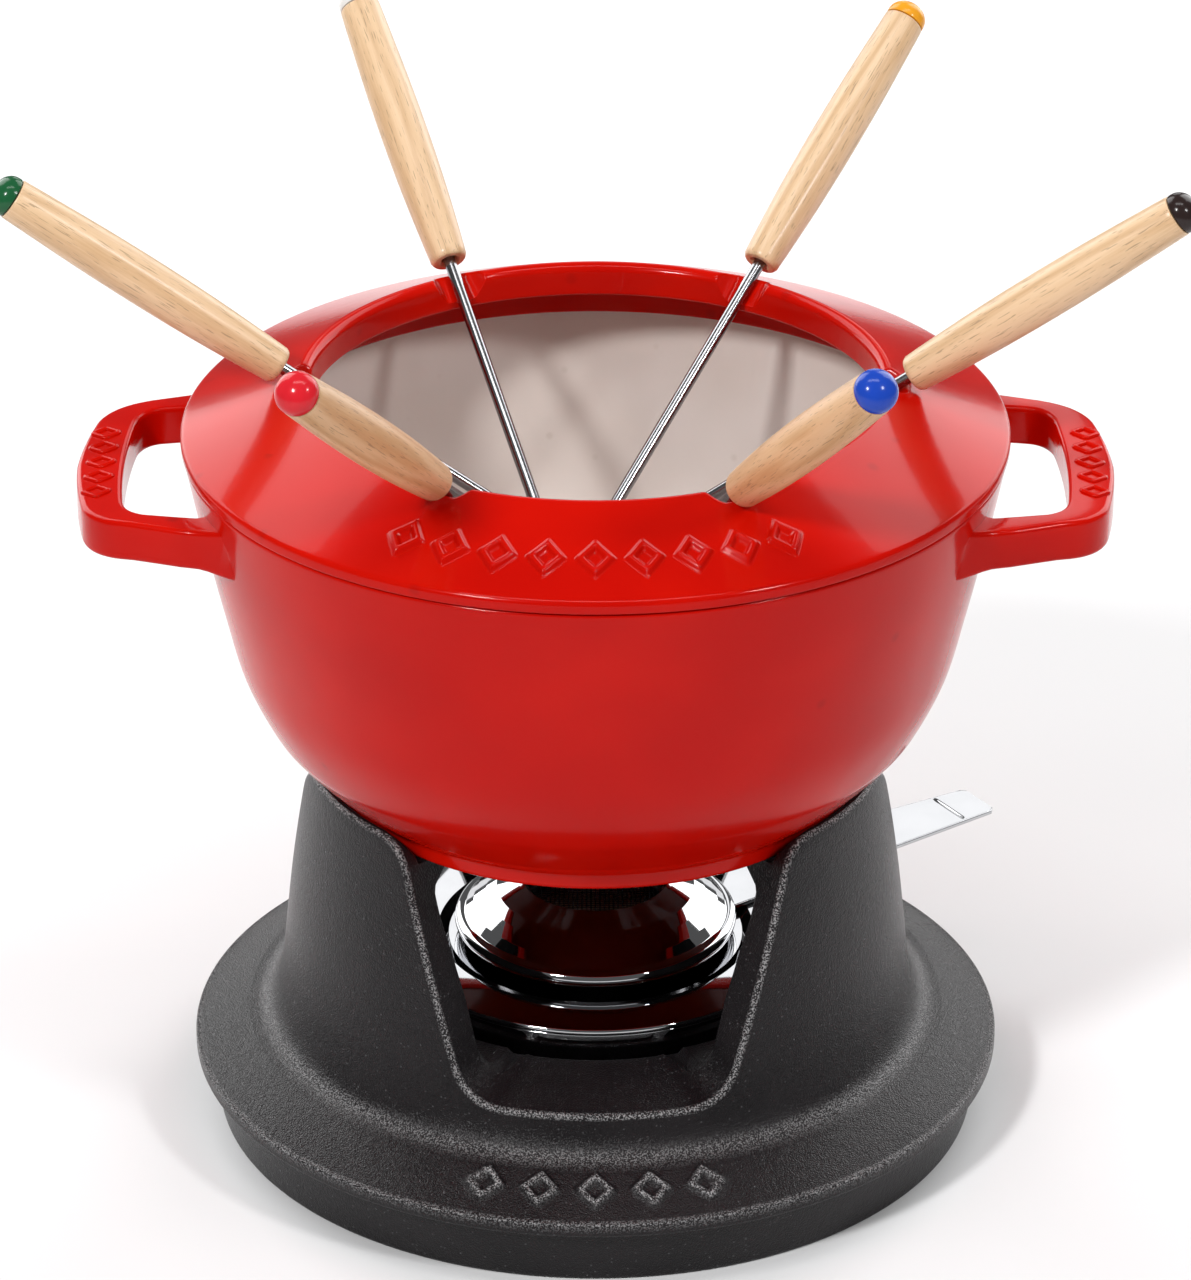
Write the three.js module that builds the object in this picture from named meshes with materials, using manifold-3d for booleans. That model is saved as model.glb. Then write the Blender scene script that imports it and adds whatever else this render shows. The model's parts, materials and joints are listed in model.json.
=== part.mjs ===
// Fondue pot set: a cast-iron stand, a spirit burner with a swinging regulator lever,
// an enamelled pot, a splash ring with six notches, and six forks with wooden grips.
// Millimetres, +Z up. The origin is on the table, on the axis of the pot. The front of
// the set faces -Y and the pot's two handles point along +X and -X.

import * as THREE from 'three';
import { mergeVertices } from 'three/addons/utils/BufferGeometryUtils.js';
import Module from 'manifold-3d';

const wasm = await Module();
wasm.setup();

// ---- driving dimensions -------------------------------------------------------------

const GAP = 0.3;                 // clearance between pieces that rest on each other
const FINE = 48;                 // segments around the large castings
const COARSE = 28;               // segments around the burner pieces

const FOOT_R = 97;               // stand: outer radius of the foot ring on the table
const FLANGE_R = 102.9;          // stand: outer radius of the flange
const FLANGE_Z = 15.5;           // stand: underside of the flange
const WALL_FOOT = [80.4, 35];    // stand: radius and height where the wall leaves the fillet
const WALL_TOP = [73.9, 95.5];   // stand: radius and height under the top lip
const LEDGE_Z = 91.6;            // stand: ledge that carries the pot
const LIP_Z = 99.8;              // stand: top of the lip around the pot's foot
const WELL_R = 56.5;             // stand: radius of the burner's well
const WELL_Z = 15;               // stand: floor of the well
const SILL_Z = 36.5;             // stand: sill of the three windows
const WINDOW_AZIMUTHS = [-90, 30, 150];

const RIM_Z = 183.3;             // pot: top of the rim
const RIM_R = 101.4;             // pot: outer radius at the rim
const POT_FLOOR = 98.2;          // pot: inside floor
const HANDLE_REACH = 127.9;       // pot: end of each handle from the axis
const HANDLE_TOP = 176.5;        // pot: top face of the handles
const HANDLE_THICK = 10.3;

const RING_R = 102;              // splash ring: outer radius
const LIP_R = 72.4;              // splash ring: crest radius of the lip
const CREST_Z = 199;             // splash ring: crest height
const LIP_BEAD = 2.2;            // splash ring: radius of the lip's round edge
const NOTCH_W = 8.8;
const NOTCH_DEPTH = 3.1;         // splash ring: from a rod's centre to its notch's floor

const PAN_R = 52.8;              // burner: outer radius of the pan
const PAN_Z = 43.3;              // burner: top of the pan's wall
const COVER_Z = 44.9;            // burner: top of the cover at its edge
const LEVER_AZIMUTH = 33;
const LEVER_Z = 45.2;            // burner: underside of the lever
const LEVER_THICK = 1.1;
const LEVER_END = 122.5;
const FLANGE_SEAT = LEVER_Z + LEVER_THICK + GAP;  // burner: underside of the regulator
const RIVET_RADIUS = 30.2;       // burner: rivets from the axis, and each side of the lever
const RIVET_OFFSETS = [-3.6, 3.6];
const RIVET_R = 1.4;

const ROD_R = 1.55;              // fork: radius of the steel rod
const ROD_BELOW = 145;           // fork: from the notch to the tips of the tines
const TANG = 24;                 // fork: length of rod inside the grip
const GRIP_LENGTH = 78;
const NOTCH_R = 71.6;            // fork: radius at which the rod crosses its notch

// Each fork crosses its notch at a slight skew, so that the rods pass each other inside
// the pot. grip is the distance from the notch to the lower end of the wood.
const FORKS = [
  { notch: 179.4, azimuth: 182.2, elevation: 35.5, height: 197.3, grip: 6.8, cap: 0x1d5c33 },
  { notch: 119.1, azimuth: 112.8, elevation: 37.3, height: 196.3, grip: 7.6, cap: 0xe9e6df },
  { notch: 58.3, azimuth: 52.4, elevation: 37, height: 196, grip: 8.4, cap: 0xf0a818 },
  { notch: -1.7, azimuth: -9.1, elevation: 36.3, height: 196.3, grip: 7.3, cap: 0x2c2221 },
  { notch: 296.6, azimuth: 296.9, elevation: 38.7, height: 196.1, grip: 7, cap: 0x1d49b4 },
  { notch: 240.9, azimuth: 242.6, elevation: 37.1, height: 197.2, grip: 7.3, cap: 0xd3202c },
];

const RED = 0xc31c10;
const IRON = 0x2b2829;
const CHROME = 0xd8d8dc;
const STEEL = 0xb9b9bd;
const WOOD = 0xd9ae7a;

// ---- helpers ------------------------------------------------------------------------

const rad = THREE.MathUtils.degToRad;

// Merges shared vertices and drops the empty triangles that a lathe makes on its axis.
function weld(geometry) {
  geometry.deleteAttribute('normal');
  geometry.deleteAttribute('uv');
  const merged = mergeVertices(geometry, 1e-4);
  const source = merged.index.array;
  const kept = [];
  for (let i = 0; i < source.length; i += 3) {
    const [a, b, c] = [source[i], source[i + 1], source[i + 2]];
    if (a !== b && b !== c && c !== a) kept.push(a, b, c);
  }
  merged.setIndex(kept);
  return merged;
}

// Turns a closed geometry the right way out if its faces point inwards.
function outward(geometry) {
  const solid = weld(geometry);
  const p = solid.attributes.position;
  const index = solid.index.array;
  const [a, b, c] = [new THREE.Vector3(), new THREE.Vector3(), new THREE.Vector3()];
  let volume = 0;
  for (let i = 0; i < index.length; i += 3) {
    a.fromBufferAttribute(p, index[i]);
    b.fromBufferAttribute(p, index[i + 1]);
    c.fromBufferAttribute(p, index[i + 2]);
    volume += a.dot(b.cross(c));
  }
  if (volume < 0) solid.setIndex(Array.from(index).reverse());
  return solid;
}

function toManifold(geometry) {
  const solid = outward(geometry);
  return new wasm.Manifold(new wasm.Mesh({
    numProp: 3,
    vertProperties: new Float32Array(solid.attributes.position.array),
    triVerts: new Uint32Array(solid.index.array),
  }));
}

function fromManifold(manifold) {
  const mesh = manifold.getMesh();
  const geometry = new THREE.BufferGeometry();
  geometry.setAttribute('position', new THREE.BufferAttribute(mesh.vertProperties, 3));
  geometry.setIndex(Array.from(mesh.triVerts));
  return geometry;
}

// Revolves a profile of [radius, height] points around +Z. A profile that doesn't start
// and end on the axis is closed on itself.
function revolve(profile, segments = FINE) {
  const points = profile.map(([r, z]) => new THREE.Vector2(r, z));
  const open = points[0].x === 0 && points[points.length - 1].x === 0;
  if (!open) points.push(points[0].clone());
  return new THREE.LatheGeometry(points, segments).rotateX(Math.PI / 2);
}

// Points of an arc around (cr, cz), from one angle to another in degrees.
function arc(cr, cz, radius, from, to, steps) {
  return Array.from({ length: steps + 1 }, (_, i) => {
    const a = rad(from + (to - from) * i / steps);
    return [cr + radius * Math.cos(a), cz + radius * Math.sin(a)];
  });
}

const smooth = (points, count) => new THREE.SplineCurve(
  points.map(([r, z]) => new THREE.Vector2(r, z)),
).getPoints(count).map((p) => [p.x, p.y]);

// A block of the given outline in (degrees, height), standing radially between two radii.
// drop lowers the outline towards the outside, in mm per mm of radius, and squeeze narrows
// its lower half towards the inside, in parts per mm.
function radialBlock(outline, [inner, middle, outer], centre, drop, squeeze) {
  const count = outline.length;
  const place = (r, [angle, z]) => {
    const low = Math.min(1, Math.max(0, (88 - z) / 30));
    const a = rad(centre + angle * (1 - squeeze * low * Math.max(0, middle - r)));
    return [r * Math.cos(a), r * Math.sin(a), z - drop * (r - middle)];
  };
  const position = [inner, middle, outer].flatMap((r) => outline.flatMap((p) => place(r, p)));
  const faces = THREE.ShapeUtils.triangulateShape(
    outline.map(([angle, z]) => new THREE.Vector2(angle, z)), [],
  );
  const index = [];
  const last = 2 * count;
  for (const [a, b, c] of faces) index.push(a, b, c, a + last, c + last, b + last);
  for (let i = 0; i < last; i++) {
    const j = i % count === count - 1 ? i + 1 - count : i + 1;
    index.push(i, i + count, j, j, i + count, j + count);
  }
  const geometry = new THREE.BufferGeometry();
  geometry.setAttribute('position', new THREE.Float32BufferAttribute(position, 3));
  geometry.setIndex(index);
  return geometry;
}

// A raised diamond, pointing out of a sloping surface, for a row of generic relief.
function diamond(width, length, height, matrix) {
  const geometry = new THREE.CylinderGeometry(0.55, 1, height * 2, 4);
  geometry.scale(width / 2, 1, length / 2);
  return toManifold(geometry.rotateX(Math.PI / 2).applyMatrix4(matrix));
}

// A frame on a cone around +Z: X along the circle, Y up the slope, Z out of the surface.
function onCone(radius, height, azimuth, slope) {
  return new THREE.Matrix4()
    .makeRotationZ(rad(azimuth - 90))
    .multiply(new THREE.Matrix4().makeTranslation(0, radius, height))
    .multiply(new THREE.Matrix4().makeRotationX(-rad(slope)));
}

function finish(name, geometry, color, roughness, metalness = 0) {
  geometry.computeVertexNormals();
  const material = new THREE.MeshStandardMaterial({ color, roughness, metalness });
  const mesh = new THREE.Mesh(geometry, material);
  mesh.name = name;
  return mesh;
}

// ---- stand --------------------------------------------------------------------------

// Half of the window's outline, from the sill's centre up and out round the leg's top.
// The window narrows from 38 degrees each side at the top to 26 near the sill.
function windowHalf() {
  return [
    [0, SILL_Z], [11, SILL_Z], [17.2, SILL_Z + 1.4], [21.8, SILL_Z + 4.2],
    [24.9, SILL_Z + 8.4], [27, SILL_Z + 14.5], [37.8, 90.5], [39.4, 94.6],
    [42.3, 98], [46.2, LIP_Z], [46.2, LIP_Z + 12],
  ];
}

function stand() {
  const body = toManifold(revolve([
    [0, WELL_Z - 4], [60.5, WELL_Z - 4], [61.5, WELL_Z - 3], [61.5, 32.5], [73.5, 32.5],
    [75.8, 29], [82, 22.4], [90, 19], [91.4, 0],
    [FOOT_R, 0], [99.2, FLANGE_Z - 1], [99.6, FLANGE_Z],
    [FLANGE_R - 0.9, FLANGE_Z], [FLANGE_R, 16.6], [FLANGE_R, 18.1], [FLANGE_R - 0.9, 19.1],
    [88.6, 25.2], ...arc(90.2, 34.6, 9.5, 252, 187, 4), WALL_FOOT,
    WALL_TOP, [73.8, 97.6], [73.3, 99.2], [72.7, LIP_Z], [71.9, 99.6], [70.6, 97.4],
    [69.3, 94.4], [68.9, LEDGE_Z], [61, LEDGE_Z], [60.4, 91], [60.4, 89],
    [66.2, 85.5], [67.2, 79], [68.4, 60], [70, 46], [68, 41],
    [WELL_R + 1.4, 40.4], [WELL_R, 39], [WELL_R, WELL_Z + 2], [WELL_R - 2, WELL_Z], [0, WELL_Z],
  ]));
  const half = windowHalf();
  const outline = [...half, ...half.slice(1).reverse().map(([angle, z]) => [-angle, z])];
  const windows = WINDOW_AZIMUTHS.map(
    (azimuth) => toManifold(radialBlock(outline, [57, WALL_FOOT[0], 125], azimuth, 0.15, 0.005)),
  );
  const opened = windows.reduce((solid, cut) => solid.subtract(cut), body);
  const relief = [-2, -1, 0, 1, 2].map(
    (step) => diamond(9, 9, 1, onCone(93.2, 23.1, -90 + step * 8.4, 24)),
  );
  const solid = relief.reduce((sum, one) => sum.add(one), opened);
  return finish('stand', fromManifold(solid), IRON, 0.75, 0.3);
}

// ---- pot ----------------------------------------------------------------------------

// One loop handle in plan: two side bars that leave the belly and a slightly bowed end bar.
function handlePlan() {
  const [root, wide, narrow] = [96, 44.6, 34.6];
  const rootX = (y) => Math.sqrt(root * root - y * y);
  const plan = new THREE.Shape();
  plan.moveTo(rootX(wide), -wide);
  plan.lineTo(100, -41);
  plan.lineTo(114, -36.2);
  plan.quadraticCurveTo(122.6, -33.4, 124.9, -25);
  plan.quadraticCurveTo(127.6, -12, HANDLE_REACH, 0);
  plan.quadraticCurveTo(127.6, 12, 124.9, 25);
  plan.quadraticCurveTo(122.6, 33.4, 114, 36.2);
  plan.lineTo(100, 41);
  plan.lineTo(rootX(wide), wide);
  plan.lineTo(rootX(narrow), narrow);
  plan.lineTo(101, 33.5);
  plan.lineTo(109, 31);
  plan.quadraticCurveTo(114.2, 29.4, 115, 22);
  plan.quadraticCurveTo(117.2, 0, 115, -22);
  plan.quadraticCurveTo(114.2, -29.4, 109, -31);
  plan.lineTo(101, -33.5);
  plan.lineTo(rootX(narrow), -narrow);
  return plan;
}

function pot() {
  const belly = smooth([
    [67.6, 97.2], [75.2, 104], [83.4, 114], [88.9, 126], [92.6, 141], [97.1, 161], [101, 181],
  ], 8);
  const inside = smooth([
    [93.2, RIM_Z - 2], [91.2, 161], [87.4, 141], [83.6, 127], [77.6, 115], [69, 105], [58, 99.4],
    [50, POT_FLOOR],
  ], 8);
  const bowl = toManifold(revolve([
    [0, 93.6], [59.4, 93.6], [60.8, LEDGE_Z + GAP], [66.2, LEDGE_Z + GAP], [67, 92.8], [67, 96.2],
    ...belly, [RIM_R, RIM_Z - 0.9], [RIM_R - 0.7, RIM_Z], [93.8, RIM_Z], ...inside, [0, POT_FLOOR],
  ]));
  const bevel = 1.1;
  const loop = new THREE.ExtrudeGeometry(handlePlan(), {
    depth: HANDLE_THICK - 2 * bevel, curveSegments: 5,
    bevelThickness: bevel, bevelSize: bevel, bevelOffset: -bevel, bevelSegments: 1,
  }).translate(0, 0, HANDLE_TOP - HANDLE_THICK + bevel);
  const bars = [-2, -1, 0, 1, 2].map((step) => diamond(
    7, 6, 0.9, new THREE.Matrix4().makeTranslation(121.9, step * 8.6, HANDLE_TOP),
  ));
  const right = bars.reduce((sum, one) => sum.add(one), toManifold(loop));
  const solid = bowl.add(right).add(right.rotate([0, 0, 180]));
  return finish('pot', fromManifold(solid), RED, 0.25);
}

// ---- splash ring --------------------------------------------------------------------

function splashRing() {
  const seat = RIM_Z + GAP;
  const bead = CREST_Z - LIP_BEAD;
  const body = toManifold(revolve([
    [RING_R - 1, seat], [RING_R, seat + 1], [RING_R, seat + 2], [RING_R - 1.2, seat + 3.5],
    ...arc(LIP_R, bead, LIP_BEAD, 67, 180, 5), [70.2, 191.4], [71.1, 190.6],
    [88.8, 185.6], [89.2, 177.8], [91.8, 177.8], [92.4, 182.8],
    [93.4, seat],
  ]));
  const cuts = FORKS.map(({ notch, height }) => {
    const size = [NOTCH_W, 12, 10];
    const block = new THREE.BoxGeometry(...size)
      .translate(0, LIP_R, height - NOTCH_DEPTH + size[2] / 2);
    return toManifold(block.rotateZ(rad(notch - 90)));
  });
  const notched = cuts.reduce((solid, cut) => solid.subtract(cut), body);
  const relief = [-4, -3, -2, -1, 0, 1, 2, 3, 4].map(
    (step) => diamond(8, 9, 1.1, onCone(89.4, 191.9, -90 + step * 7.4, 23)),
  );
  const solid = relief.reduce((sum, one) => sum.add(one), notched);
  return finish('splash_ring', fromManifold(solid), RED, 0.25);
}

// ---- burner -------------------------------------------------------------------------

function burnerPan() {
  const floor = WELL_Z + GAP;
  return finish('burner_pan', outward(revolve([
    [0, floor], [PAN_R - 2.5, floor], [PAN_R, floor + 2.5], [PAN_R, PAN_Z],
    [PAN_R - 1, PAN_Z], [PAN_R - 1, floor + 3], [PAN_R - 3, floor + 1], [0, floor + 1],
  ], COARSE)), CHROME, 0.08, 1);
}

// A shallow annular cover whose skirt drops inside the pan's wall.
function burnerCover() {
  const rim = PAN_Z + GAP;
  return finish('burner_cover', outward(revolve([
    [PAN_R + 0.1, rim], [PAN_R + 0.5, rim + 0.6], [PAN_R, COVER_Z], [40, COVER_Z + 0.1],
    [37.4, 44.1], [24.6, 44.1], [24.6, 43.1], [37.8, 43.1], [40.4, 43.9],
    [PAN_R - 2.4, 43.9], [PAN_R - 2.4, 39], [PAN_R - 1.4, 39],
    [PAN_R - 1.4, rim],
  ], COARSE)), CHROME, 0.08, 1);
}

function fuelCup() {
  const base = WELL_Z + 2 * GAP + 1;
  return finish('fuel_cup', outward(revolve([
    [0, base], [21, base], [22, base + 1], [22, 52], [20.9, 52], [20.9, base + 2], [20, base + 1],
    [0, base + 1],
  ], COARSE)), STEEL, 0.3, 1);
}

function wickPad() {
  const base = WELL_Z + 3 * GAP + 2;
  return finish('wick_pad', outward(revolve([
    [0, base], [18.6, base], [19.9, base + 1.5], [19.9, 44.5], [18.6, 46], [0, 46],
  ], COARSE)), 0xe6e0d2, 0.95);
}

// A disc of gauze over the wick pad, held inside the fuel cup.
function gauzeScreen() {
  return finish('gauze_screen', outward(revolve([
    [0, 46.6], [20.5, 46.6], [20.5, 50.2], [19.7, 50.2], [19.7, 47.4], [0, 47.4],
  ], COARSE)), STEEL, 0.5, 1);
}

// Vertical holes through the lever and the regulator's flange, one for each rivet.
function rivetHoles(low, high) {
  return RIVET_OFFSETS.map((y) => toManifold(
    new THREE.CylinderGeometry(RIVET_R + 0.4, RIVET_R + 0.4, high - low, 12)
      .rotateX(Math.PI / 2).translate(RIVET_RADIUS, y, (low + high) / 2),
  ));
}

// The regulator is a spun shell: a rolled bead, a dome, a bevelled neck and an inner
// flange underneath, to which the lever is riveted.
function regulatorHead() {
  const shell = toManifold(revolve([
    [26.2, FLANGE_SEAT], [33.9, FLANGE_SEAT], ...arc(33.9, FLANGE_SEAT + 2.1, 2.1, -70, 90, 6),
    [31.2, 52.9], [28, 55.4], [25.3, 57.4], [19.8, 59.4], [18.6, 59.9], [17.6, 59.3], [17.6, 55.6],
    [18.5, 55.6], [18.6, 58.4], [24.6, 56.2], [27.4, 54.2], [30.4, 51.9], [33.4, 49.9],
    [33.4, FLANGE_SEAT + 0.9], [26.2, FLANGE_SEAT + 0.9],
  ], COARSE));
  const holes = rivetHoles(FLANGE_SEAT - 1, FLANGE_SEAT + 2);
  const solid = holes.reduce((sum, hole) => sum.subtract(hole), shell);
  return finish('regulator_head', fromManifold(solid), CHROME, 0.08, 1);
}

// A tapering strip with clipped corners at its free end and a shallow groove across it.
function regulatorLever() {
  const [start, root, half, clip] = [26.6, 13, 7, 1.2];
  const plan = new THREE.Shape([
    [start, -root], [LEVER_END - clip, -half], [LEVER_END, -half + clip],
    [LEVER_END, half - clip], [LEVER_END - clip, half], [start, root],
  ].map(([x, y]) => new THREE.Vector2(x, y)));
  const strip = new THREE.ExtrudeGeometry(plan, { depth: LEVER_THICK, bevelEnabled: false });
  const top = LEVER_Z + LEVER_THICK;
  const groove = new THREE.BoxGeometry(0.9, 20, 0.8).translate(LEVER_END - 10, 0, top);
  const cuts = [...rivetHoles(LEVER_Z - 1, top + 1), toManifold(groove)];
  const solid = cuts.reduce((sum, cut) => sum.subtract(cut), toManifold(strip.translate(0, 0, LEVER_Z)));
  return finish('regulator_lever', fromManifold(solid), CHROME, 0.12, 1);
}

function leverRivet(number, y) {
  const [low, high] = [LEVER_Z - GAP, FLANGE_SEAT + 0.9 + GAP];
  const head = RIVET_R + 1.1;
  const rivet = revolve([
    [0, low - 0.5], [head, low - 0.5], [head, low], [RIVET_R, low], [RIVET_R, high],
    [head, high], [head - 0.6, high + 0.7], [0, high + 0.7],
  ], 12);
  return finish(`lever_rivet_${number}`, outward(rivet.translate(RIVET_RADIUS, y, 0)), STEEL, 0.3, 1);
}

// The lever, its rivets and the head turn together about the burner's axis.
function regulator() {
  const group = new THREE.Group();
  group.rotation.z = rad(LEVER_AZIMUTH);
  group.add(regulatorHead(), regulatorLever());
  RIVET_OFFSETS.forEach((y, i) => group.add(leverRivet(i + 1, y)));
  return group;
}

// ---- forks --------------------------------------------------------------------------
// Each fork is built along +Z, with its notch at the origin and its tines pointing down.

// A flat head of two pointed tines, forged out of the end of the rod.
function prong(name, grip) {
  const [spread, gapHalf, thick] = [3.2, 1.1, 1.6];
  const [tip, root] = [-ROD_BELOW, -ROD_BELOW + 33];
  const side = [
    [1.3, root], [spread, root - 9], [spread, tip + 4], [spread - 1, tip],
    [gapHalf, tip + 5], [gapHalf, tip + 21], [0, tip + 22.6],
  ];
  const outline = [...side, ...side.slice(0, -1).reverse().map(([x, z]) => [-x, z])];
  const plan = new THREE.Shape(outline.map(([x, z]) => new THREE.Vector2(x, z)));
  const head = new THREE.ExtrudeGeometry(plan, { depth: thick, bevelEnabled: false })
    .translate(0, 0, -thick / 2).rotateX(Math.PI / 2);
  const rodTop = grip + TANG;
  const rodFoot = root - 3;
  const rod = new THREE.CylinderGeometry(ROD_R, ROD_R, rodTop - rodFoot, 10)
    .rotateX(Math.PI / 2).translate(0, 0, (rodTop + rodFoot) / 2);
  return finish(name, fromManifold(toManifold(rod).add(toManifold(head))), STEEL, 0.25, 1);
}

// A turned wooden grip, fullest near its middle, bored for the rod's tang.
function woodGrip(name, grip) {
  const bore = ROD_R + GAP;
  const seat = grip + TANG + 2 * GAP;
  const turned = revolve([
    [0, seat], [bore, seat], [bore, grip], [3.9, grip], [4.7, grip + 0.9], [5.3, grip + 12],
    [5.9, grip + 28], [6, grip + 42], [5.8, grip + 58], [5.4, grip + 72], [5.2, grip + GRIP_LENGTH],
    [0, grip + GRIP_LENGTH],
  ], 14);
  return finish(name, outward(turned), WOOD, 0.45);
}

function endCap(name, grip, color) {
  const base = grip + GRIP_LENGTH + GAP;
  const dome = revolve([
    [0, base], [5.1, base], [5.1, base + 1], [4.5, base + 3], [3, base + 4.4], [1.3, base + 5],
    [0, base + 5.1],
  ], 14);
  return finish(name, outward(dome), color, 0.25);
}

function fork({ notch, azimuth, elevation, height, grip, cap }, index) {
  const group = new THREE.Group();
  const along = new THREE.Vector3(
    Math.cos(rad(elevation)) * Math.cos(rad(azimuth)),
    Math.cos(rad(elevation)) * Math.sin(rad(azimuth)),
    Math.sin(rad(elevation)),
  );
  const across = new THREE.Vector3(-Math.sin(rad(azimuth)), Math.cos(rad(azimuth)), 0);
  const basis = new THREE.Matrix4().makeBasis(across, along.clone().cross(across), along);
  group.quaternion.setFromRotationMatrix(basis);
  group.position.set(NOTCH_R * Math.cos(rad(notch)), NOTCH_R * Math.sin(rad(notch)), height);
  const name = `fork_${index + 1}`;
  group.add(prong(`${name}_prong`, grip), woodGrip(`${name}_grip`, grip));
  group.add(endCap(`${name}_cap`, grip, cap));
  return group;
}

// ---- assembly -----------------------------------------------------------------------

const group = new THREE.Group();
group.add(stand(), pot(), splashRing());
group.add(burnerPan(), burnerCover(), fuelCup(), wickPad(), gauzeScreen(), regulator());
FORKS.forEach((one, index) => group.add(fork(one, index)));

export default group;
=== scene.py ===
"""Fondue pot set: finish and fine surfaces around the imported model.

Shapes are worked out in millimetres about the pot's axis, with +Z up and the front of the
set towards -Y, and become metres when a mesh is made.
"""

import json
import math

import bmesh
import bpy
import numpy as np
from mathutils import Matrix, Vector


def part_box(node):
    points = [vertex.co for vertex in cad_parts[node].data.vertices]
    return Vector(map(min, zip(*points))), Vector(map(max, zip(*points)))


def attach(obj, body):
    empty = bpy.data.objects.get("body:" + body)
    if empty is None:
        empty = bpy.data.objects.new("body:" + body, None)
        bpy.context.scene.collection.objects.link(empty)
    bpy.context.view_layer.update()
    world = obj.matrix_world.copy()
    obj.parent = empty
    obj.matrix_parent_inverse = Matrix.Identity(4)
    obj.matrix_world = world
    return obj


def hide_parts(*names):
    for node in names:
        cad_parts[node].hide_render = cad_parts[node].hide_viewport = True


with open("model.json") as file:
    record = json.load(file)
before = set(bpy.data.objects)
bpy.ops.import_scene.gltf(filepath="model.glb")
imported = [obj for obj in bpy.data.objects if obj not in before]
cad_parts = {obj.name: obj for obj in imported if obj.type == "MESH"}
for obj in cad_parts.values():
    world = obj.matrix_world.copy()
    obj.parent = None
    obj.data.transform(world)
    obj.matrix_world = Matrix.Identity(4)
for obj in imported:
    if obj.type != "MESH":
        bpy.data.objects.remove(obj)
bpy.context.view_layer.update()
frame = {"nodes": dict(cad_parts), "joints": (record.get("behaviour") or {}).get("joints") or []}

MM = 0.001
TURN = 2 * math.pi

# ---- sizes read from the model, in millimetres ------------------------------------------


def low(node):
    return [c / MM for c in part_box(node)[0]]


def high(node):
    return [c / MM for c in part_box(node)[1]]


LIP_TOP = high("stand")[2]              # stand: top of the lip round the pot's foot
FLANGE_R = high("stand")[0]             # stand: outer radius of the flange
POT_FOOT = low("pot")[2]                # pot: underside of the foot
RIM = high("pot")[2]                    # pot: top of the rim
REACH = high("pot")[0]                  # pot: end of a handle from the axis
RING_R = high("splash_ring")[0]         # splash ring: outer radius
CREST = high("splash_ring")[2]          # splash ring: crest of the lip
PAN_R = high("burner_pan")[0]           # burner: outer radius of the pan
PAN_FOOT = low("burner_pan")[2]
PAN_TOP = high("burner_pan")[2]
HEAD_FOOT = low("regulator_head")[2]    # burner: underside of the regulator
HEAD_TOP = high("regulator_head")[2]
LEVER_FOOT = low("regulator_lever")[2]

# ---- camera, floor and light ------------------------------------------------------------


def studio():
    """A camera a little above the rim, a pale floor and soft lights behind and in front."""
    pitch = math.radians(26.31)
    aim = Vector((0, 0, 0.1269))
    away = 1.5
    camera_data = bpy.data.cameras.new("camera")
    camera_data.lens = 168.6
    camera = bpy.data.objects.new("camera", camera_data)
    camera.location = aim + away * Vector((0, -math.cos(pitch), math.sin(pitch)))
    camera.rotation_euler = (math.pi / 2 - pitch, 0, 0)
    bpy.context.scene.collection.objects.link(camera)
    bpy.context.scene.camera = camera

    floor = bpy.data.meshes.new("floor")
    half = 6.0
    corners = [(-half, -half, 0), (half, -half, 0), (half, half, 0), (-half, half, 0)]
    floor.from_pydata(corners, [], [(0, 1, 2, 3)])
    floor_object = bpy.data.objects.new("floor", floor)
    bpy.context.scene.collection.objects.link(floor_object)
    shade = Shade("pale_floor")
    shade.surface(base=(0.8, 0.8, 0.805), rough=0.7, level=0.1)
    floor.materials.append(shade.material)

    def soft_light(name, place, target, size, power):
        data = bpy.data.lights.new(name, "AREA")
        data.shape, data.size, data.size_y = "RECTANGLE", size[0], size[1]
        data.energy = power
        light = bpy.data.objects.new(name, data)
        light.location = place
        facing = Vector(target) - Vector(place)
        light.rotation_euler = facing.to_track_quat("-Z", "Y").to_euler()
        bpy.context.scene.collection.objects.link(light)

    middle = (0, 0, 0.12)
    soft_light("back_left", (-0.95, 1.15, 0.85), middle, (1.0, 1.6), 18)
    soft_light("back_right", (0.95, 1.15, 0.85), middle, (1.0, 1.6), 18)
    soft_light("back_low", (0.12, 1.5, 0.75), middle, (0.5, 0.5), 1.3)
    soft_light("overhead", (0, -0.3, 1.7), middle, (1.3, 0.22), 7)
    soft_light("key_left", (-0.9, -1.3, 1.5), middle, (0.26, 0.26), 27)
    soft_light("key_right", (1.1, -0.9, 1.3), middle, (0.24, 0.24), 10)
    world = bpy.data.worlds.new("studio")
    world.use_nodes = True
    background = world.node_tree.nodes["Background"]
    background.inputs["Color"].default_value = (1, 1, 1, 1)
    background.inputs["Strength"].default_value = 0.14
    bpy.context.scene.world = world
    bpy.context.scene.view_settings.view_transform = "Standard"


# ---- shader maths -----------------------------------------------------------------------


class Wire:
    """One output of a node. Arithmetic on it adds Math nodes."""

    def __init__(self, shade, socket):
        self.shade, self.socket = shade, socket

    def maths(self, operation, *values):
        return self.shade.node("ShaderNodeMath", {"operation": operation}, dict(enumerate(values)))

    def __add__(self, other):
        return self.maths("ADD", self, other)

    def __sub__(self, other):
        return self.maths("SUBTRACT", self, other)

    def __rsub__(self, other):
        return self.maths("SUBTRACT", other, self)

    def __mul__(self, other):
        return self.maths("MULTIPLY", self, other)

    __radd__ = __add__
    __rmul__ = __mul__

    def above(self, edge, width):
        """0 below edge, 1 above edge + width, with a smooth step between."""
        settings = {"interpolation_type": "SMOOTHSTEP"}
        return self.shade.node("ShaderNodeMapRange", settings, {0: self, 1: edge, 2: edge + width})


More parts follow.
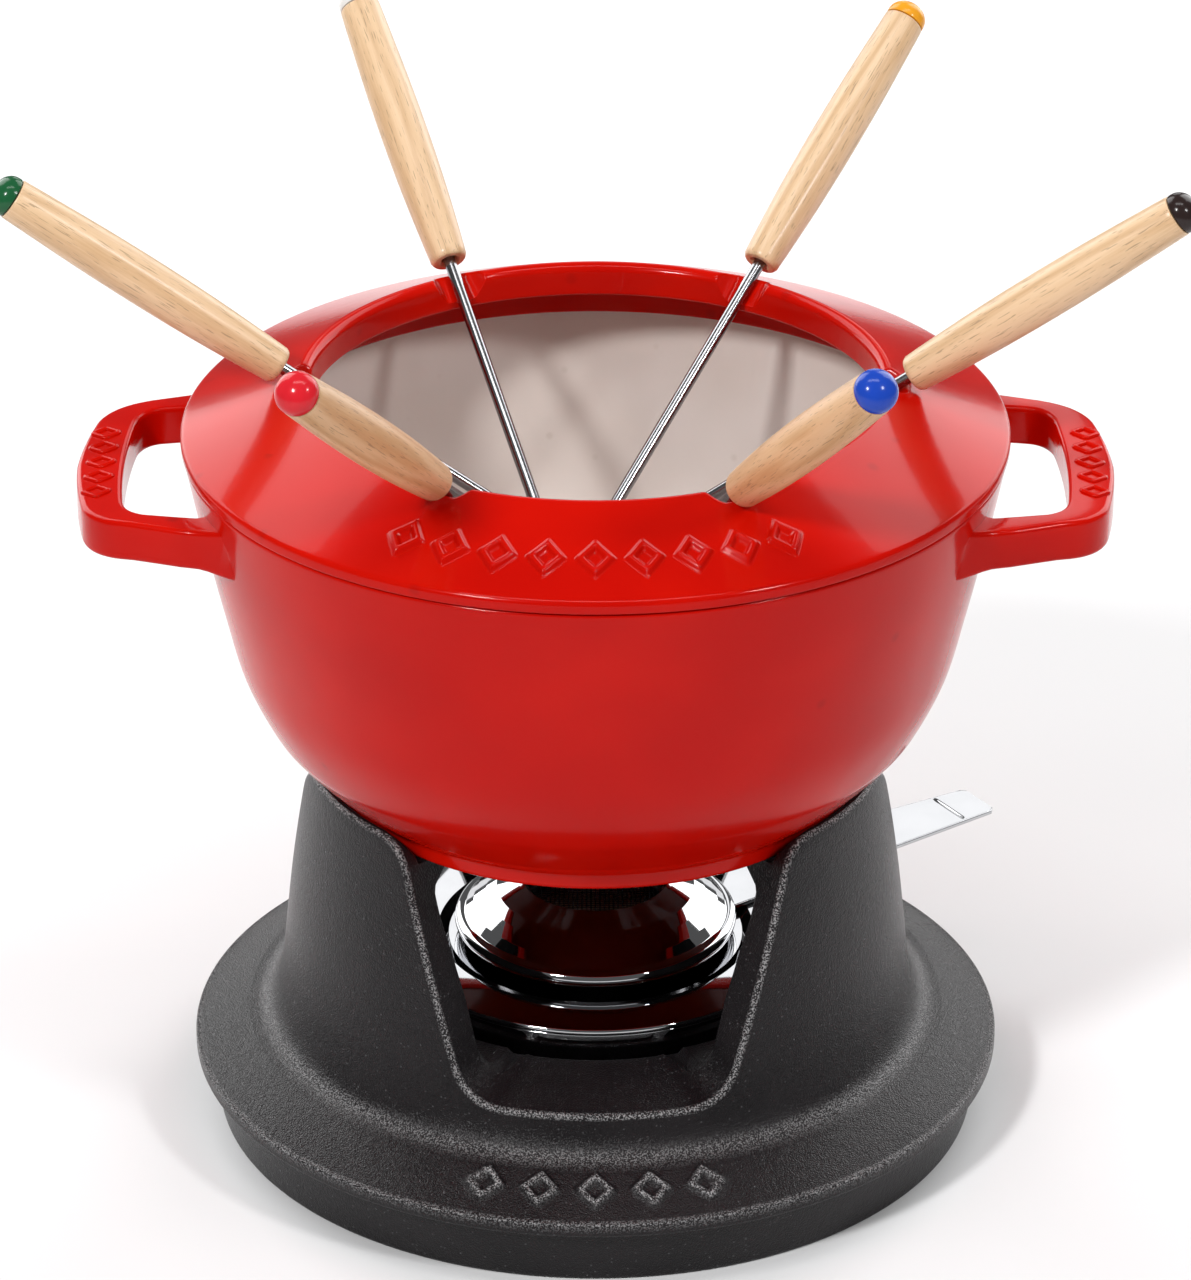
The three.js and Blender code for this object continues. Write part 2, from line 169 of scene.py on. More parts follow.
class Shade:
    """A finish under construction: a material and the nodes that vary it."""

    def __init__(self, name):
        self.material = bpy.data.materials.new(name)
        self.material.use_nodes = True
        self.tree = self.material.node_tree
        self.shader = self.tree.nodes["Principled BSDF"]

    def node(self, kind, settings=None, inputs=None, out=0):
        made = self.tree.nodes.new(kind)
        for key, value in (settings or {}).items():
            if key == "stops":
                self.set_stops(made.color_ramp, value)
            else:
                setattr(made, key, value)
        for key, value in (inputs or {}).items():
            self.feed(made.inputs[key], value)
        return Wire(self, made.outputs[out])

    def set_stops(self, ramp, stops):
        while len(ramp.elements) < len(stops):
            ramp.elements.new(1.0)
        for element, (position, colour) in zip(ramp.elements, stops):
            element.position, element.color = position, (*colour, 1)

    def feed(self, socket, value):
        if isinstance(value, Wire):
            self.tree.links.new(value.socket, socket)
        elif isinstance(value, tuple) and len(value) == 3 and socket.type == "RGBA":
            socket.default_value = (*value, 1)
        else:
            socket.default_value = value

    def place(self):
        """Where a point lies in the object's own frame, in metres."""
        return self.node("ShaderNodeTexCoord", out="Object")

    def stored(self, name):
        """A vector that the mesh carries at each point."""
        return self.node("ShaderNodeAttribute", {"attribute_name": name}, out="Vector")

    def painted_shine(self):
        """How much painted highlight a point takes, where the mesh carries it."""
        return self.node("ShaderNodeAttribute", {"attribute_name": "wear"}, out="Fac")

    def stretch(self, vector, scale):
        return self.node("ShaderNodeVectorMath", {"operation": "MULTIPLY"}, {0: vector, 1: scale})

    def noise(self, vector, size, detail=2.0, rough=0.5):
        """Soft noise whose blotches are about size metres across."""
        inputs = {"Vector": vector, "Scale": 1 / size, "Detail": detail, "Roughness": rough}
        return self.node("ShaderNodeTexNoise", None, inputs)

    def specks(self, vector, size, share):
        """1 in a few small round specks, one in each of the given share of cells."""
        settings = {"feature": "F1"}
        inputs = {"Vector": vector, "Scale": 1 / size}
        made = self.node("ShaderNodeTexVoronoi", settings, inputs, out="Distance")
        cell = Wire(self, made.socket.node.outputs["Color"])
        pick = self.node("ShaderNodeSeparateColor", None, {0: cell})
        return (1 - made.above(0.1, 0.25)) * pick.above(1 - share, 0.01)

    def mix(self, factor, first, second):
        return self.node("ShaderNodeMix", {"data_type": "RGBA"}, {0: factor, 6: first, 7: second}, out=2)

    def bump(self, height, depth, strength=1.0):
        """Relief of the given depth in metres."""
        inputs = {"Height": height, "Distance": depth, "Strength": strength}
        return self.node("ShaderNodeBump", None, inputs)

    def surface(self, base, rough, metal=0.0, level=0.5, normal=None, coat=0.0, coat_rough=0.05):
        pairs = [
            ("Base Color", base), ("Roughness", rough), ("Metallic", metal),
            ("Specular IOR Level", level), ("Coat Weight", coat), ("Coat Roughness", coat_rough),
        ]
        for key, value in pairs:
            self.feed(self.shader.inputs[key], value)
        if normal:
            self.feed(self.shader.inputs["Normal"], normal)
        return self.material


# ---- finishes ---------------------------------------------------------------------------


def black_iron():
    """Matt black enamel over sand-cast iron: a fine grain, with painted highlight glints along the edges.
    """
    shade = Shade("black_iron")
    at = shade.place()
    grain = shade.noise(at, 0.0004, 1.0)
    lumps = shade.noise(at, 0.0018, 3.0)
    blotch = shade.noise(at, 0.03, 3.0)
    flakes = shade.specks(at, 0.001, 0.13)
    # painted highlight: grey glints mixed into the colour where the mesh asks for them, along the edges,
    # the flange rim and the wall's fillet
    edge = shade.painted_shine()
    glint = edge * grain.above(0.46, 0.16)
    base = shade.mix(blotch.above(0.35, 0.3), (0.0055, 0.0042, 0.005), (0.0095, 0.0075, 0.0085))
    base = shade.mix(flakes * 0.45, base, (0.15, 0.15, 0.155))
    base = shade.mix(glint * 0.7, base, (0.46, 0.455, 0.46))
    rough = 0.24 + blotch * 0.1 - flakes * 0.08
    relief = grain * 0.6 + lumps * 0.4
    return shade.surface(base, rough, level=0.24, normal=shade.bump(relief, 0.00045, 0.9))


def red_enamel(name, tone=1.0):
    """Glossy red glass enamel: a slight orange peel and a few pinholes."""
    shade = Shade(name)
    at = shade.place()
    peel = shade.noise(at, 0.0045, 2.0)
    sag = shade.noise(at, 0.022, 2.0)
    cloud = shade.noise(at, 0.05, 2.0)
    pits = shade.specks(at, 0.006, 0.04)
    # tone below 1 gives a darker copy of the red, used as painted shade
    base = shade.mix(
        cloud.above(0.3, 0.4), (0.46 * tone, 0.0026, 0.0004), (0.54 * tone, 0.0046, 0.0006)
    )
    base = shade.mix(pits * 0.25, base, (0.16 * tone, 0.004, 0.003))
    relief = peel * 0.35 + sag * 0.65 - pits * 0.06
    rough = 0.13 + cloud * 0.05
    return shade.surface(
        base, rough, level=0.09, normal=shade.bump(relief, 0.0002, 0.5), coat=0.1, coat_rough=0.04
    )


def cream_enamel():
    """Satin cream enamel inside the pot, with pale brown pepper specks."""
    shade = Shade("cream_enamel")
    at = shade.place()
    peel = shade.noise(at, 0.005, 2.0)
    cloud = shade.noise(at, 0.04, 2.0)
    pepper = shade.specks(at, 0.004, 0.05)
    base = shade.mix(cloud.above(0.3, 0.4), (0.70, 0.63, 0.58), (0.76, 0.70, 0.66))
    base = shade.mix(pepper * 0.2, base, (0.42, 0.34, 0.27))
    return shade.surface(base, 0.3 + cloud * 0.08, level=0.4, normal=shade.bump(peel, 0.0002, 0.4))


def polished_chrome():
    """Chrome plate with a faint haze, fine wiping marks and a little waviness."""
    shade = Shade("polished_chrome")
    at = shade.place()
    haze = shade.noise(at, 0.012, 3.0)
    wiping = shade.noise(shade.stretch(at, (1, 9, 9)), 0.004, 2.0)
    wave = shade.noise(at, 0.016, 1.0)
    base = shade.mix(haze, (0.52, 0.525, 0.54), (0.45, 0.455, 0.47))
    rough = 0.035 + haze.above(0.5, 0.3) * 0.05 + wiping.above(0.6, 0.2) * 0.03
    return shade.surface(base, rough, metal=1.0, normal=shade.bump(wave, 0.0001, 0.3))


def drawn_steel():
    """Stainless rod and sheet, with draw marks along the piece where it carries a grain."""
    shade = Shade("drawn_steel")
    marks = shade.noise(shade.stretch(shade.stored("grain"), (1, 1, 0.02)), 0.00025, 2.0)
    haze = shade.noise(shade.place(), 0.01, 2.0)
    base = shade.mix(marks, (0.36, 0.36, 0.375), (0.24, 0.24, 0.25))
    rough = 0.1 + marks * 0.14 + haze * 0.06
    return shade.surface(base, rough, metal=1.0, normal=shade.bump(marks, 0.00004, 0.5))


def turned_wood(name, pale, dark):
    """Varnished hardwood: growth bands, fibres and short pores along the grip."""
    shade = Shade(name)
    grain = shade.stored("grain")
    bend = shade.noise(shade.stretch(grain, (1, 1, 0.25)), 0.02, 2.0)
    bands = shade.node(
        "ShaderNodeTexWave", {"wave_type": "BANDS", "bands_direction": "X"},
        {"Vector": shade.stretch(grain, (1, 1, 0.12)), "Scale": 95.0, "Distortion": 7.0,
         "Detail": 2.0, "Detail Scale": 1.4}, out="Fac",
    )
    fibre = shade.noise(shade.stretch(grain, (1, 1, 0.03)), 0.00045, 3.0, 0.65)
    pores = shade.noise(shade.stretch(grain, (1, 1, 0.06)), 0.00032, 1.0).above(0.63, 0.06)
    tone = bands * 0.3 + fibre * 0.46 + bend * 0.3
    base = shade.mix(tone.above(0.3, 0.5), pale, dark)
    base = shade.mix(pores * 0.55, base, tuple(c * 0.42 for c in dark))
    relief = fibre * 0.4 - pores * 0.6
    return shade.surface(
        base, 0.36 + fibre * 0.18, level=0.45, normal=shade.bump(relief, 0.00012, 0.5),
        coat=0.3, coat_rough=0.22,
    )


def gloss_plastic(name, colour):
    """Moulded plastic with a slight unevenness."""
    shade = Shade(name)
    at = shade.place()
    cloud = shade.noise(at, 0.004, 2.0)
    base = shade.mix(cloud, colour, tuple(0.82 * c for c in colour))
    return shade.surface(base, 0.12 + cloud * 0.1, level=0.28, normal=shade.bump(cloud, 0.00006, 0.4))


def wick_wool():
    """Matted mineral wool."""
    shade = Shade("wick_wool")
    fibres = shade.noise(shade.stretch(shade.place(), (1, 4, 1)), 0.0006, 4.0, 0.7)
    base = shade.mix(fibres, (0.52, 0.48, 0.40), (0.84, 0.81, 0.74))
    return shade.surface(base, 0.95, level=0.2, normal=shade.bump(fibres, 0.0006, 1.0))


# ---- mesh helpers -----------------------------------------------------------------------


def mesh_of(name, points, faces, finishes, crease=35, wear=None):
    """A closed mesh piece from points in millimetres, smooth except at sharp creases.

    The last argument, from 0 to 1 for each point, is how much painted highlight a finish puts there,
    mostly along the casting's edges.
    """
    mesh = bpy.data.meshes.new(name)
    mesh.from_pydata([tuple(p) for p in np.asarray(points) * MM], [], faces)
    for finish in finishes:
        mesh.materials.append(finish)
    if wear is not None:
        mesh.attributes.new("wear", "FLOAT", "POINT").data.foreach_set("value", wear)
    work = bmesh.new()
    work.from_mesh(mesh)
    bmesh.ops.remove_doubles(work, verts=work.verts, dist=2e-6)
    bmesh.ops.dissolve_degenerate(work, edges=work.edges, dist=1e-7)
    bmesh.ops.recalc_face_normals(work, faces=work.faces)
    work.to_mesh(mesh)
    work.free()
    mesh.shade_smooth()
    mesh.set_sharp_from_angle(angle=math.radians(crease))
    piece = bpy.data.objects.new(name, mesh)
    bpy.context.scene.collection.objects.link(piece)
    return piece


def ring_faces(rows, columns, closed_rows):
    """Quads of a grid of rows x columns that is closed around its columns."""
    count = rows if closed_rows else rows - 1
    faces = []
    for row in range(count):
        a, b = row * columns, ((row + 1) % rows) * columns
        for column in range(columns):
            after = (column + 1) % columns
            faces.append((a + column, a + after, b + after, b + column))
    return faces


def rounded(corners, steps=5):
    """A polyline with its corners rounded. Each corner is (x, y) or (x, y, radius)."""
    path = []
    for i, corner in enumerate(corners):
        here = np.array(corner[:2], float)
        radius = corner[2] if len(corner) > 2 else 0
        if radius == 0 or i in (0, len(corners) - 1):
            path.append(here)
            continue
        before = np.array(corners[i - 1][:2], float) - here
        after = np.array(corners[i + 1][:2], float) - here
        reach_in, reach_out = np.linalg.norm(before), np.linalg.norm(after)
        before, after = before / reach_in, after / reach_out
        half = math.acos(float(np.clip(before @ after, -1, 1))) / 2
        reach = min(radius / math.tan(half), 0.48 * reach_in, 0.48 * reach_out)
        for step in range(steps + 1):
            t = step / steps
            path.append(here + before * reach * (1 - t) ** 2 + after * reach * t ** 2)
    return np.array(path)


def arc(centre, radius, start, stop, count):
    """Points of an arc round a centre, from one angle to another in degrees."""
    return [(centre[0] + radius * math.cos(a), centre[1] + radius * math.sin(a))
            for a in np.radians(np.linspace(start, stop, count))]


def spaced(path, step):
    """The same polyline with no stretch longer than step."""
    path = np.asarray(path, float)
    out = [path[0]]
    for a, b in zip(path[:-1], path[1:]):
        parts = max(1, math.ceil(np.linalg.norm(b - a) / step))
        out += [a + (b - a) * k / parts for k in range(1, parts + 1)]
    return np.array(out)


def spline(knots, count):
    """A smooth curve through the knots, as a Catmull-Rom spline."""
    knots = np.array(knots, float)
    padded = np.vstack([2 * knots[0] - knots[1], knots, 2 * knots[-1] - knots[-2]])
    out = []
    for i in range(1, len(padded) - 2):
        p0, p1, p2, p3 = padded[i - 1:i + 3]
        for t in np.linspace(0, 1, count, endpoint=False):
            out.append(0.5 * (2 * p1 + (p2 - p0) * t + (2 * p0 - 5 * p1 + 4 * p2 - p3) * t ** 2
                              + (3 * p1 - p0 - 3 * p2 + p3) * t ** 3))
    return np.array(out + [knots[-1]])


def turned(name, profile, finishes, segments=144, closed=False, crease=35):
    """A piece revolved about +Z from a profile of (radius, height) points."""
    profile = np.asarray(profile, float)
    angles = np.arange(segments) * TURN / segments
    rows = [np.c_[r * np.cos(angles), r * np.sin(angles), np.full(segments, z)] for r, z in profile]
    faces = ring_faces(len(profile), segments, closed)
    return mesh_of(name, np.vstack(rows), faces, finishes, crease=crease)


def fuse(base, part):
    """Joins a part into a base by a union, and takes the part away."""
    join = base.modifiers.new("join", "BOOLEAN")
    join.operation, join.solver, join.object = "UNION", "EXACT", part
    whole = bpy.data.meshes.new_from_object(base.evaluated_get(bpy.context.evaluated_depsgraph_get()))
    base.modifiers.remove(join)
    base.data = whole
    bpy.data.objects.remove(part)


def leaning(foot, head):
    """The unit normal, upward, of a sloping line between two (radius, height) points."""
    fall = np.array(foot) - np.array(head)
    normal = np.array([-fall[1], fall[0]]) / np.linalg.norm(fall)
    return normal * np.sign(normal[1])


def settle(piece, body, node, slot):
    """Ties a finished piece to its body and hides the node it stands for. The slot is not used."""
    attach(piece, body)
    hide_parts(node)
    return piece


def smoothstep(low_edge, high_edge, value):
    t = np.clip((value - low_edge) / (high_edge - low_edge), 0, 1)
    return t * t * (3 - 2 * t)


def diamonds(angle, across, centre_angle, pitch, count, half_width, half_length, radius):
    """Height, 0 to 1, of a row of hollow diamonds drawn with a raised, rounded stroke.

    angle is in degrees round the axis, across is the distance from the row's middle line.
    """
    along = (angle - centre_angle) / pitch
    nearest = np.clip(np.round(along), -(count // 2), count // 2)
    sideways = np.radians((along - nearest) * pitch) * radius
    away = np.abs(sideways) / half_width + np.abs(across) / half_length
    return smoothstep(0.34, 0.62, away) * (1 - smoothstep(0.78, 1.05, away))


class Growth:
    """A Geometry Nodes tree under construction, for parts that repeat."""

    def __init__(self, name, sizes):
        self.name = name
        self.tree = bpy.data.node_groups.new(name, "GeometryNodeTree")
        face = self.tree.interface
        face.new_socket("Geometry", in_out="OUTPUT", socket_type="NodeSocketGeometry")
        self.values = {}
        for label, value in sizes.items():
            socket = face.new_socket(label, in_out="INPUT", socket_type="NodeSocketFloat")
            self.values[socket.identifier] = value
        self.sizes = self.tree.nodes.new("NodeGroupInput").outputs
        self.out = self.tree.nodes.new("NodeGroupOutput")

    def add(self, kind, settings=None, inputs=None):
        made = self.tree.nodes.new(kind)
        for key, value in (settings or {}).items():
            setattr(made, key, value)
        for key, value in (inputs or {}).items():
            if isinstance(value, bpy.types.NodeSocket):
                self.tree.links.new(value, made.inputs[key])
            else:
                made.inputs[key].default_value = value
        return made.outputs[0]

    def calc(self, operation, a, b=0.0):
        return self.add("ShaderNodeMath", {"operation": operation}, {0: a, 1: b})

    def piece(self, layers, finish):
        """The mesh of all the layers, realized and given its finish."""
        join = self.tree.nodes.new("GeometryNodeJoinGeometry")
        for layer in layers:
            self.tree.links.new(layer, join.inputs[0])
        real = self.add("GeometryNodeRealizeInstances", None, {"Geometry": join.outputs[0]})
        done = self.add("GeometryNodeSetMaterial", None, {"Geometry": real, "Material": finish})
        self.tree.links.new(done, self.out.inputs[0])
        carrier = bpy.data.objects.new("carrier", bpy.data.meshes.new("carrier"))
        bpy.context.scene.collection.objects.link(carrier)
        modifier = carrier.modifiers.new("growth", "NODES")
        modifier.node_group = self.tree
        for identifier, value in self.values.items():
            modifier[identifier] = value
        grown = carrier.evaluated_get(bpy.context.evaluated_depsgraph_get())
        mesh = bpy.data.meshes.new_from_object(grown)
        bpy.data.objects.remove(carrier)
        mesh.shade_smooth()
        mesh.set_sharp_from_angle(angle=math.radians(50))
        made = bpy.data.objects.new(self.name, mesh)
        bpy.context.scene.collection.objects.link(made)
        return made


# ---- stand ------------------------------------------------------------------------------

WALL_FOOT_R, WALL_FOOT_Z = 80.4, 35.0
WALL_LEAN = 0.1075               # the wall's radius shrinks by this much for each mm of height
SILL = 36.5
LEG_EDGE = 1.6                   # radius of the edges round the windows
UNWRAP = math.radians(1) * 77    # mm round the wall for each degree


def wall_radius(z):
    return WALL_FOOT_R - WALL_LEAN * (z - WALL_FOOT_Z)


def inner_radius(z):
    """The wall's inner side, with the ledge that carries the pot's foot."""
    heights = [40.4, 41, 46, 60, 79, 85.5, 89, 91.1, 91.6, 91.66, 94.4, 97.4, 99, LIP_TOP]
    radii = [57.9, 68, 70, 68.4, 67.2, 66.2, 60.4, 60.5, 61.2, 68.9, 69.3, 70.6, 71.4, 72]
    return np.interp(z, heights, radii)


def window_half():
    """Half an opening's edge, from a leg's centre line down to the middle of the sill."""
    jamb_top, jamb_foot = 40.6, 23.3
    corners = [
        (60 * UNWRAP, LIP_TOP), (jamb_top * UNWRAP, LIP_TOP, 12.5),
        (jamb_foot * UNWRAP, SILL, 13.5), (0, SILL),
    ]
    path = rounded(corners, 16)
    out = [path[0]]
    for a, b in zip(path[:-1], path[1:]):
        step = 1.5 if b[1] > SILL + 0.01 else 0.55
        parts = max(1, math.ceil(np.linalg.norm(b - a) / step))
        out += [a + (b - a) * k / parts for k in range(1, parts + 1)]
    return np.array(out)


def stand_columns():
    """The edge of the wall all round, for each window: the angle of its middle, the angle
    from there, the height, and the way into the iron."""
    half = window_half()
    along = np.gradient(half, axis=0)
    inward = np.c_[along[:, 1], -along[:, 0]]
    inward /= np.linalg.norm(inward, axis=1)[:, None]
    inward *= np.where(inward[:, 1:2] > 0, -1, 1)
    inward[0], inward[-1] = (0, -1), (0, -1)
    columns = []
    for centre in (150, 30, -90):
        for side in (1, -1):
            order = range(len(half) - 1) if side == 1 else range(len(half) - 1, 0, -1)
            for i in order:
                columns.append((centre, side * half[i, 0] / UNWRAP, half[i, 1],
                                side * inward[i, 0], inward[i, 1]))
    return np.array(columns)


def stand():
    middle, offset, top, side, down = stand_columns().T
    angle = middle + offset
    # each row also carries, for each point, a share of painted highlight that the iron finish turns into
    # grey glints
    rows, wear = [], []

    def row(radius, degrees, height, painted_shine=0.0):
        turn = np.radians(degrees)
        level = np.broadcast_to(height, turn.shape)
        rows.append(np.c_[radius * np.cos(turn), radius * np.sin(turn), level])
        wear.append(np.broadcast_to(painted_shine, turn.shape))

    edge_angle = angle + side * LEG_EDGE / UNWRAP
    edge_top = top + down * LEG_EDGE
    slope_foot, slope_head = (FLANGE_R - 1.1, 19.3), (88.8, 25.2)
    lower = np.vstack([
        rounded([(0, 11), (59.5, 11, 2), (61.5, 13, 1), (61.5, 32.5, 2.5), (73.5, 32.5, 3),
                 (76.5, 28, 3), (83, 21.6, 3), (90, 19, 2), (91.4, 0, 0.9), (97, 0, 1.2),
                 (99.2, 14.9, 0.8), (FLANGE_R, 15.5, 1.2), (FLANGE_R, 19.2, 1.3), slope_foot]),
        spaced([slope_foot, slope_head], 0.6)[1:],
        arc((90.2, 34.6), 9.5, 250, 188, 9),
    ])
    tilt = leaning(slope_foot, slope_head)
    for r, z in lower:
        if slope_foot[1] < z <= slope_head[1]:
            raised = 1.1 * diamonds(edge_angle, r - 93.4, -90, 8.4, 5, 5.4, 5.2, 93.4)
            raised *= smoothstep(70, 60, np.abs(edge_angle + 90))
            # painted highlight on the raised diamonds
            row(r + tilt[0] * raised, edge_angle, z + tilt[1] * raised, smoothstep(0.55, 1.1, raised))
        else:
            # painted highlight: a thin band round the flange rim and a broad one along the concave fillet
            # at the wall's foot
            on_rim = 0.7 * math.exp(-((z - 19) / 0.5) ** 2) if r > FLANGE_R - 2 else 0.0
            on_fillet = 0.55 * math.exp(-((z - 27) / 1.3) ** 2) if 80 < r < 90 else 0.0
            row(np.full(len(angle), r), edge_angle, z, on_rim + on_fillet)
    for t in np.linspace(0, 1, 22):
        z = WALL_FOOT_Z + (edge_top - WALL_FOOT_Z) * t
        row(wall_radius(z), edge_angle, z)
    # painted highlight along the rounded edges of the windows
    for turn in np.linspace(0, math.pi / 2, 7)[1:]:
        reach = LEG_EDGE * (1 - math.sin(turn))
        z = top + down * reach
        row(wall_radius(z) - LEG_EDGE * (1 - math.cos(turn)), angle + side * reach / UNWRAP, z,
            0.9 * math.sin(2 * turn))
    rise = 0.15 * smoothstep(84, 66, top)
    squeeze = 0.005 * np.clip((88 - top) / 30, 0, 1)
    outer = wall_radius(top) - LEG_EDGE
    far = inner_radius(top + rise * 23)
    edge = 0.7
    for t in np.linspace(0, 1, 12)[1:]:
        r = outer + (far + edge - outer) * t
        row(r, middle + offset * (1 - squeeze * (outer - r)), top + rise * (outer - r))
    inner_top = top + rise * (outer - far)
    inner_angle = middle + offset * (1 - squeeze * (outer - far))
    row(far + edge * 0.3, inner_angle, inner_top - edge * 0.3)
    levels = [99, 97.4, 95.8, 94.4, 93, 91.9, 91.66, 91.6, 91.1, 90.4, 89, 87.6, 86, 84.5, 79, 72, 66,
              60, 54, 49, 46, 43.4, 41.6, 41, 40.7, 40.4, 39.2]
    for level in levels:
        z = np.minimum(level, inner_top - edge)
        row(inner_radius(z), inner_angle, z)
    well = rounded([(57.9, 39.2), (56.5, 38.2, 1), (56.5, 15, 2), (30, 15), (0, 15)])
    for r, z in well[1:]:
        row(np.full(len(angle), r), inner_angle, z)
    faces = ring_faces(len(rows), len(angle), False)
    points, edges = np.vstack(rows), np.concatenate(wear)
    piece = mesh_of("stand_casting", points, faces, [IRON], crease=50, wear=edges)
    settle(piece, "stand", "stand", "black_iron")


# ---- pot --------------------------------------------------------------------------------

HANDLE_TOP = 176.5
HANDLE_THICK = 10.3
HANDLE_EDGE = 1.5
HANDLE_FALL, HANDLE_CREST_R = 0.07, 112     # the top falls by this slope beyond this reach
RELIEF_DROP = 0.69                          # how far it has fallen at the relief


def bend(start, control, stop, count):
    """Points of a quadratic curve after its start."""
    start, control, stop = (np.array(p, float) for p in (start, control, stop))
    return [start * (1 - t) ** 2 + 2 * control * t * (1 - t) + stop * t ** 2
            for t in np.linspace(0, 1, count + 1)[1:]]


def handle_loop(side):
    """A loop handle: one bar that leaves the belly, turns across and comes back."""
    outer = list(spaced([(84.4, 44.6), (100, 41), (114, 36.2)], 2.4))
    inner = [np.array((89.2, 34.2)) + (np.array((109, 31)) - np.array((89.2, 34.2))) * t
             for t in np.linspace(0, 1, len(outer))]
    outer += bend((114, 36.2), (122.6, 33.4), (124.9, 25), 12)
    outer += bend((124.9, 25), (127.6, 12), (REACH, 0), 8)
    inner += bend((109, 31), (114.2, 29.4), (115, 22), 12)
    inner += bend((115, 22), (116.1, 11), (116.1, 0), 8)
    mirrored = np.array([1, -1])
    outer = outer + [p * mirrored for p in outer[-2::-1]]
    inner = inner + [p * mirrored for p in inner[-2::-1]]
    points = []
    for far, near in zip(outer, inner):
        reach = far - near
        wide = np.linalg.norm(reach)
        flare = smoothstep(103.5, 96, np.linalg.norm((far + near) / 2))
        grow, deep = 2.2 * flare, 1.4 * flare
        outline = rounded([
            (wide / 2, deep), (wide + grow, deep, HANDLE_EDGE),
            (wide + grow, -HANDLE_THICK - deep, HANDLE_EDGE), (-grow, -HANDLE_THICK - deep, HANDLE_EDGE),
            (-grow, deep, HANDLE_EDGE), (wide / 2, deep),
        ], 6)[:-1]
        for u, v in outline:
            flat = near + reach / wide * u
            fall = HANDLE_FALL * max(0.0, flat[0] - HANDLE_CREST_R)
            points.append((side * flat[0], side * flat[1], HANDLE_TOP + v - fall))
    rows, columns = len(outer), len(outline)
    faces = ring_faces(rows, columns, False)
    faces += [tuple(range(columns)), tuple(range((rows - 1) * columns, rows * columns))]
    return points, faces


def pot():
    belly = spline([(68.2, 97.4), (71.6, 100.2), (75.4, 104), (79.9, 109), (83.4, 114), (88.8, 126),
                    (92.6, 141), (97.1, 161), (101.1, RIM - 2.4)], 7)
    inside = spline([(93.6, RIM - 2), (91.4, 161), (87.6, 141), (83.8, 127), (77.8, 115), (69.4, 105.6),
                     (59, 100), (48, 98.2), (30, 98.2)], 7)
    foot = rounded([(0, 93.6), (59.4, 93.6, 1), (60.8, POT_FOOT, 1), (66.4, POT_FOOT, 1.5),
                    (67.2, 96.6, 1.2), (68.2, 97.4)])
    rim = rounded([(belly[-1][0], belly[-1][1]), (101.6, RIM, 1.4), (93.6, RIM, 1.2), (93.6, RIM - 2)])
    profile = np.vstack([foot, belly[1:], rim[1:-1], inside, [(0, 98.2)]])
    bowl = turned("pot_casting", profile, [RED, CREAM, SHADED_RED], segments=256)
    for side in (1, -1):
        fuse(bowl, mesh_of("loop", *handle_loop(side), [RED]))
    mesh = bowl.data
    mesh.name = "pot_casting"
    for face in mesh.polygons:
        x, y, z = face.center / MM
        within = math.hypot(x, y) < 94.6 and z > 98 and face.normal.dot(Vector((x, y, -20))) < 0
        # faces under the pot take the darker red: painted shade beneath the pot
        shaded_beneath = z < 93.9 and math.hypot(x, y) < 60
        face.material_index = 1 if within else 2 if shaded_beneath else 0
    mesh.shade_smooth()
    mesh.set_sharp_from_angle(angle=math.radians(40))
    settle(bowl, "pot", "pot", "red_enamel")


def handle_relief():
    """A row of raised hollow diamonds on the end bar of each handle."""
    sizes = {"Reach": 0.1219, "Pitch": 0.0086, "Width": 0.0070, "Length": 0.0058, "Stroke": 0.0008}
    relief = Growth("handle_relief", sizes)
    add, calc = relief.add, relief.calc
    reach, pitch, stroke = (relief.sizes[k] for k in ("Reach", "Pitch", "Stroke"))
    width, length = relief.sizes["Width"], relief.sizes["Length"]
    half = calc("MULTIPLY", width, 0.5)
    square = add("GeometryNodeCurvePrimitiveCircle", None, {"Resolution": 4, "Radius": half})
    squash = add("ShaderNodeCombineXYZ", None, {0: 1.0, 1: calc("DIVIDE", length, width), 2: 1.0})
    diamond = add("GeometryNodeTransform", None, {"Geometry": square, "Scale": squash})
    soft = add("GeometryNodeFilletCurve", {"mode": "POLY"},
               {"Curve": diamond, "Count": 4, "Radius": calc("MULTIPLY", stroke, 0.9)})
    pen = add("GeometryNodeCurvePrimitiveCircle", None, {"Resolution": 12, "Radius": stroke})
    bar = add("GeometryNodeCurveToMesh", None, {"Curve": soft, "Profile Curve": pen})
    layers = []
    for side in (1, -1):
        start = add("ShaderNodeCombineXYZ", None, {
            0: calc("MULTIPLY", reach, side), 1: calc("MULTIPLY", pitch, -2.0),
            2: (HANDLE_TOP - RELIEF_DROP) * MM,
        })
        step = add("ShaderNodeCombineXYZ", None, {0: 0.0, 1: pitch, 2: 0.0})
        places = add("GeometryNodeMeshLine", None, {"Count": 5, "Start Location": start, "Offset": step})
        layers.append(add("GeometryNodeInstanceOnPoints", None, {
            "Points": places, "Instance": bar, "Rotation": (0.0, HANDLE_FALL * side, 0.0),
            "Scale": (1.0, 1.0, 0.85),
        }))
    piece = relief.piece(layers, RED)
    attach(piece, "pot")


# ---- splash ring ------------------------------------------------------------------------

NOTCH_R = 71.6                   # the rods' heights in the notches are taken at this radius
ROD_DROP = 2.35                  # a notch's floor runs this far under its rod's centre line


def fork_axis(number):
    """A fork's line: a point on it and its direction, both in millimetres."""
    joint = next(j for j in frame["joints"] if j["name"] == f"fork_{number}_pull")
    along = Vector(joint["axis"]).normalized()
    vertices = frame["nodes"][f"fork_{number}_cap"].data.vertices
    centre = sum((v.co for v in vertices), Vector()) / len(vertices) / MM
    return centre, along


